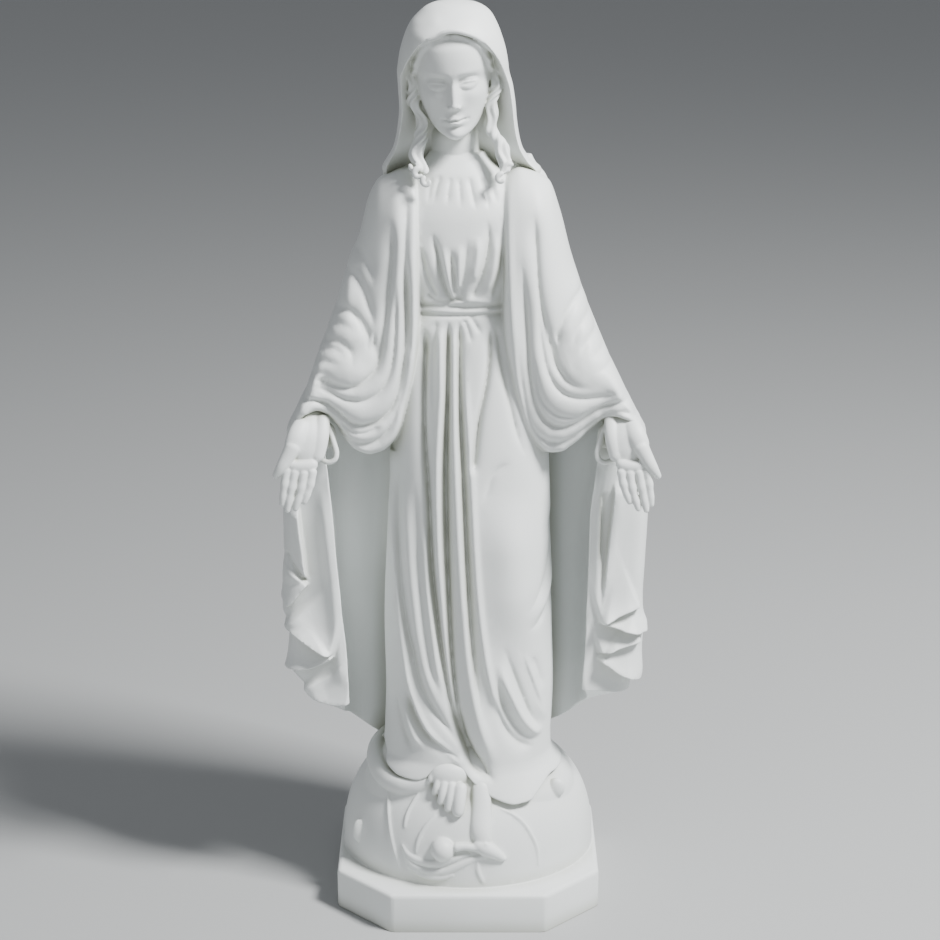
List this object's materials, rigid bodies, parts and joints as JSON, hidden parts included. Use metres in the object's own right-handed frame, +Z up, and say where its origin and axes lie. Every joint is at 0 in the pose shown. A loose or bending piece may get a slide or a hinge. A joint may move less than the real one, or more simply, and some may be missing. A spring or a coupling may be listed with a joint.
{
  "type": "garden statue",
  "caption": "Cast garden statue of a veiled standing woman in gown and mantle, open hands lowered, on a globe with a serpent and an octagonal plinth.",
  "frame": {"origin": "centre of the plinth's flat underside", "axes": "+Z up, -Y the figure's front, +X to the viewer's right when facing the figure"},
  "size_m": [0.4935, 0.352, 1.2001],
  "materials": {
    "cast_marble": "white cast marble, matt to satin, clean, with faint grey dirt in the hollows"
  },
  "bodies": {
    "root": {"statue": "cast_marble"}
  },
  "joints": []
}
